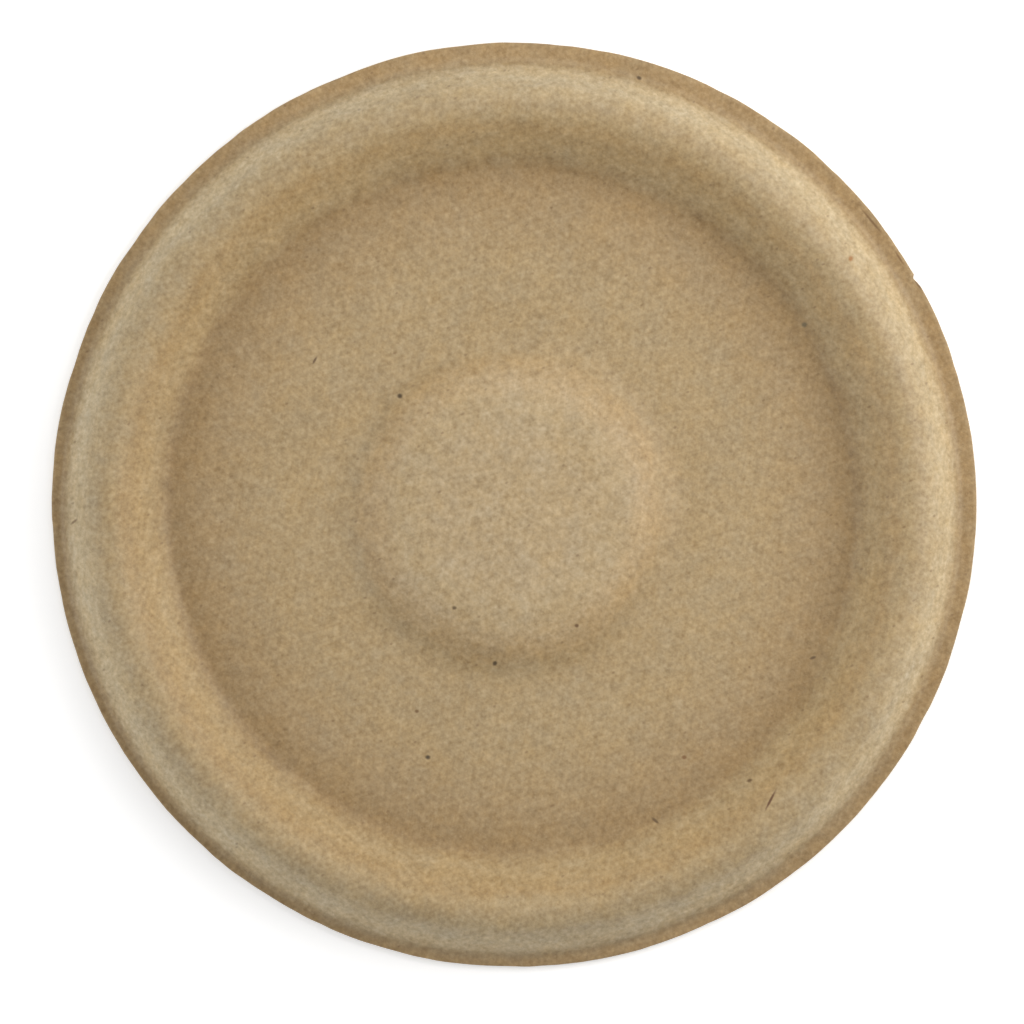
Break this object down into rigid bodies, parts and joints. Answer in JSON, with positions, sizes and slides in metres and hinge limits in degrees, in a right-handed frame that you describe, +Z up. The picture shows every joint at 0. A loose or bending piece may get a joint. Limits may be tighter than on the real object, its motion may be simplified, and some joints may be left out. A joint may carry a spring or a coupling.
{
  "type": "portion cup lid",
  "caption": "Round push-on lid for a small portion cup, pressed from plant fibre, with a raised bead, a recessed panel and a low central dome.",
  "frame": {"origin": "centre of the round trimmed edge, in the plane of the flange's underside", "axes": "+Z up, out of the lid's upper face; +X to the right and +Y to the top of the picture"},
  "size_m": [0.066, 0.066, 0.005],
  "materials": {
    "fibre": "matt unbleached moulded plant fibre, lightly mottled"
  },
  "bodies": {
    "root": {"lid": "fibre"}
  },
  "joints": []
}
